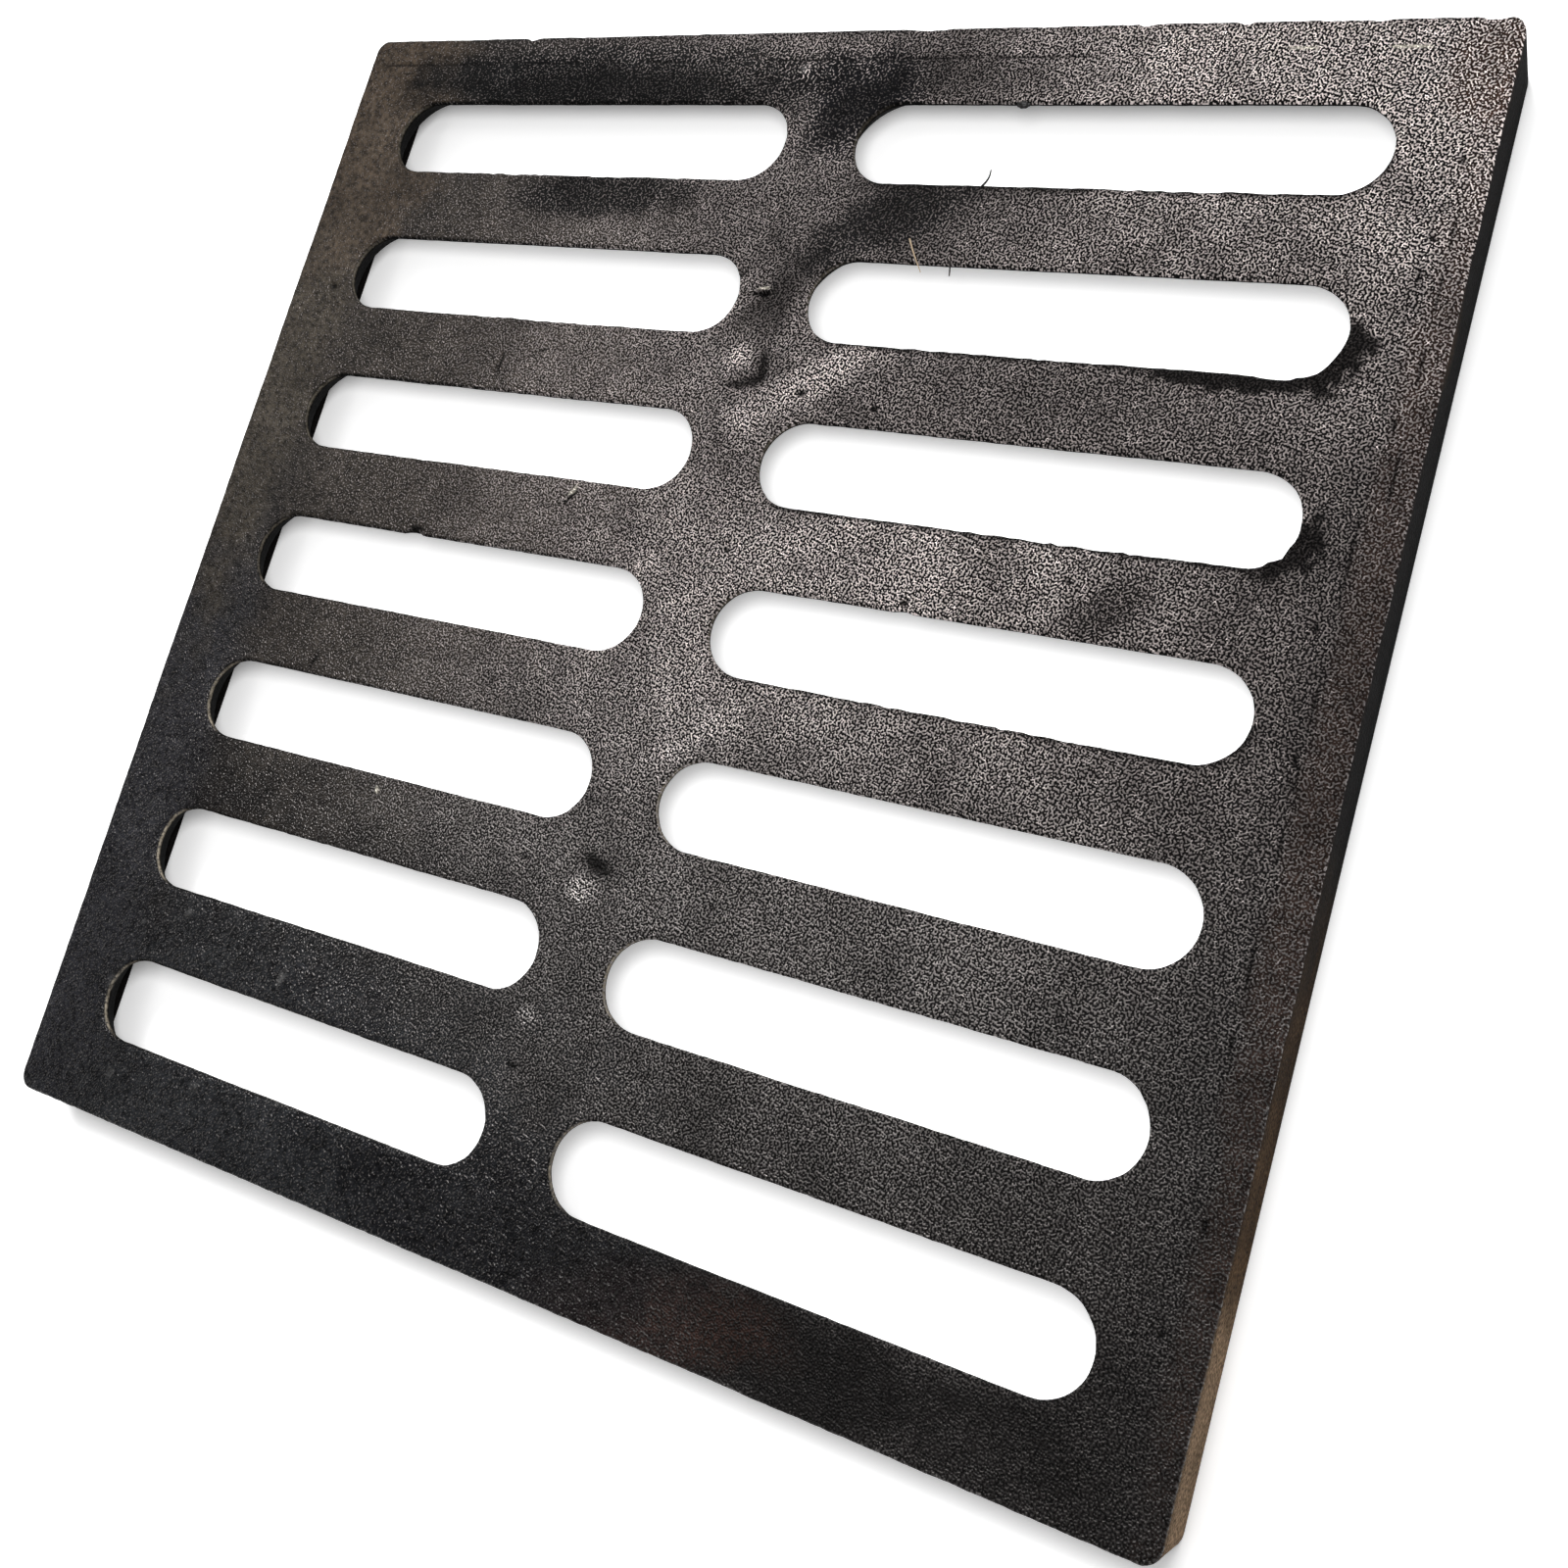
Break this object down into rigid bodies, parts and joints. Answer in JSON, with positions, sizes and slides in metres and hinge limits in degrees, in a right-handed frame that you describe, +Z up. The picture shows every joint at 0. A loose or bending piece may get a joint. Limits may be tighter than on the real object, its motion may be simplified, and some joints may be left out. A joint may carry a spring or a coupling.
{
  "type": "gully grate",
  "caption": "Square cast-iron gully grate with rows of round-ended slots, bars that taper downwards and a rim underneath that stands in a drain frame.",
  "frame": {"origin": "middle of the plane on which the underside rim stands", "axes": "+X along the slots, +Y across them, +Z up to the walking surface"},
  "size_m": [0.3, 0.3, 0.018],
  "materials": {
    "painted_iron": "semi-gloss black bitumen paint over a pebbled sand-cast skin, with brown rust stains"
  },
  "bodies": {
    "root": {"grate": "painted_iron"}
  },
  "joints": []
}
